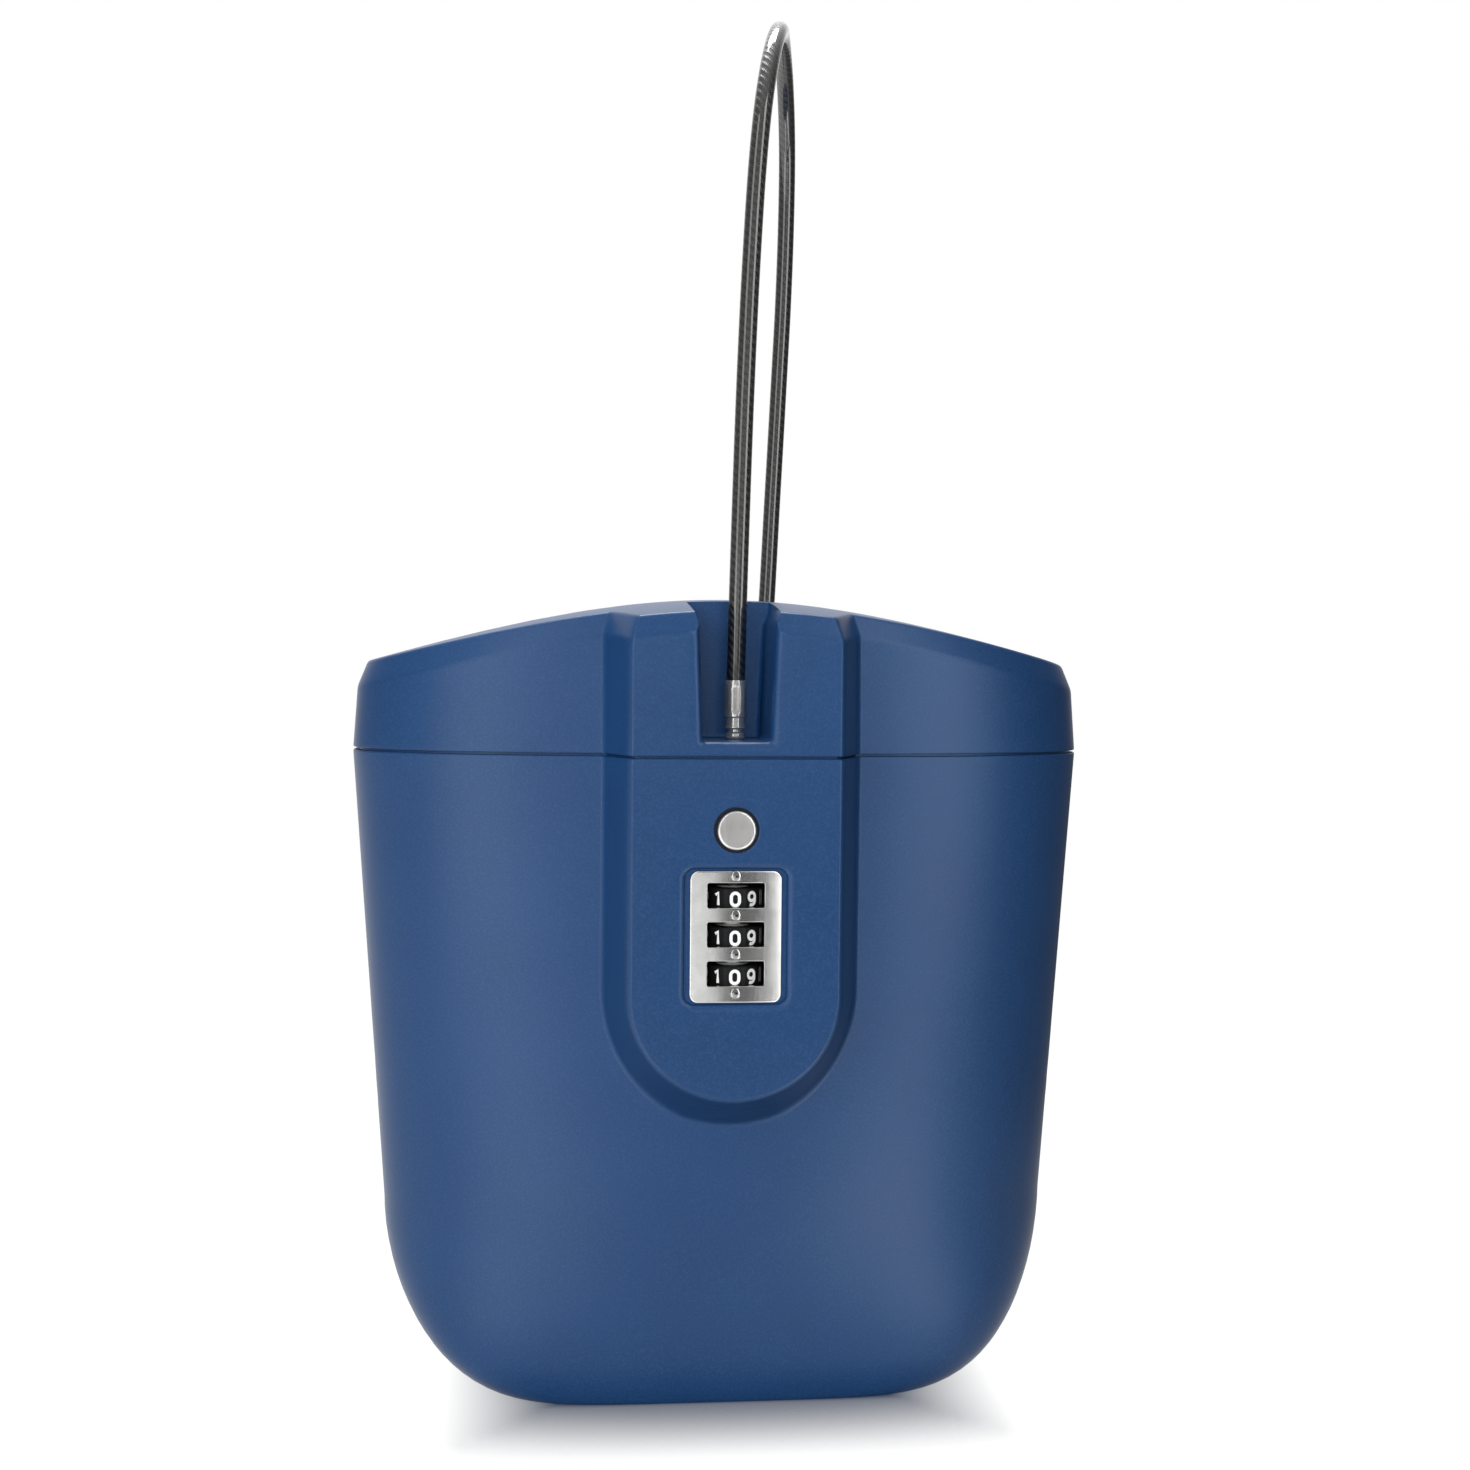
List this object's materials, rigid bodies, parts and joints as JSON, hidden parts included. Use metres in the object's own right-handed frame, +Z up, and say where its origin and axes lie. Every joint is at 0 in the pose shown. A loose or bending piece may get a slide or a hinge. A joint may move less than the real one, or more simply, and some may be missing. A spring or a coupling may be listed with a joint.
{
  "type": "portable beach safe",
  "caption": "Tapered tub safe with a hinged arched lid, a cable loop with a locking plug, and a combination lock with number wheels and a release button.",
  "frame": {"origin": "middle of the flat base, on the mid-planes of the tub's width and depth", "axes": "+Z up from the base to the lid, -Y towards the lock pad and the number wheels, +X to the right as seen from the front"},
  "size_m": [0.2024, 0.1008, 0.3749],
  "materials": {
    "body_navy": "fine moulded grain, matte navy",
    "frame_black": "glass-filled black moulding",
    "panel_navy": "plain matte navy",
    "satin_nickel": "satin nickel plating",
    "bright_nickel": "bright nickel plating",
    "steel": "bare steel",
    "zinc": "die-cast, satin",
    "wheel_black": "black with white numbers",
    "seal_rubber": "matte black rubber",
    "slider_red": "red moulding",
    "cable_sheath": "smoke-black glossy sheath over steel rope"
  },
  "bodies": {
    "tub": {"tub_shell": "body_navy", "lock_frame": "frame_black", "lock_cover": "frame_black", "lock_screws": "steel", "dial_plate": "satin_nickel", "wheel_axle": "steel", "detent_spring": "steel", "button_seal": "seal_rubber", "latch_spring": "steel", "plug_socket": "bright_nickel", "hinge_pin_left": "steel", "hinge_pin_right": "steel"},
    "lid": {"lid_shell": "body_navy", "lid_panel": "panel_navy", "lid_panel_screws": "steel", "lid_gasket": "seal_rubber", "cable": "cable_sheath", "rear_ferrule": "bright_nickel", "cable_anchor": "steel", "anchor_screws": "steel"},
    "plug": {"cable_ferrule": "bright_nickel", "locking_plug": "bright_nickel"},
    "button": {"release_button": "satin_nickel", "latch": "zinc"},
    "wheel_top": {"number_wheel_top": "wheel_black", "clutch_sleeve_top": "zinc"},
    "wheel_middle": {"number_wheel_middle": "wheel_black", "clutch_sleeve_middle": "zinc"},
    "wheel_bottom": {"number_wheel_bottom": "wheel_black", "clutch_sleeve_bottom": "zinc"},
    "slider": {"code_change_slider": "slider_red"}
  },
  "joints": [
    {"name": "lid_hinge", "type": "hinge", "parent": "tub", "child": "lid", "pos_m": [0, 0.0435, 0.1743], "axis": [-1, 0, 0], "range_deg": [0, 105]},
    {"name": "plug_pull", "type": "slide", "parent": "lid", "child": "plug", "axis": [0, 0, 1], "range_m": [0, 0.032], "deforming": ["cable"]},
    {"name": "button_press", "type": "slide", "parent": "tub", "child": "button", "axis": [0, 1, 0], "range_m": [0, 0.002], "stiffness_N_per_m": 600, "springref_m": -0.002, "deforming": ["latch_spring"]},
    {"name": "wheel_top_turn", "type": "hinge", "parent": "tub", "child": "wheel_top", "pos_m": [0, -0.04325, 0.1287], "axis": [0, 0, 1], "continuous": true},
    {"name": "wheel_middle_turn", "type": "hinge", "parent": "tub", "child": "wheel_middle", "pos_m": [0, -0.04325, 0.1287], "axis": [0, 0, 1], "continuous": true},
    {"name": "wheel_bottom_turn", "type": "hinge", "parent": "tub", "child": "wheel_bottom", "pos_m": [0, -0.04325, 0.1287], "axis": [0, 0, 1], "continuous": true},
    {"name": "code_slide", "type": "slide", "parent": "tub", "child": "slider", "axis": [1, 0, 0], "range_m": [0, 0.002]}
  ]
}
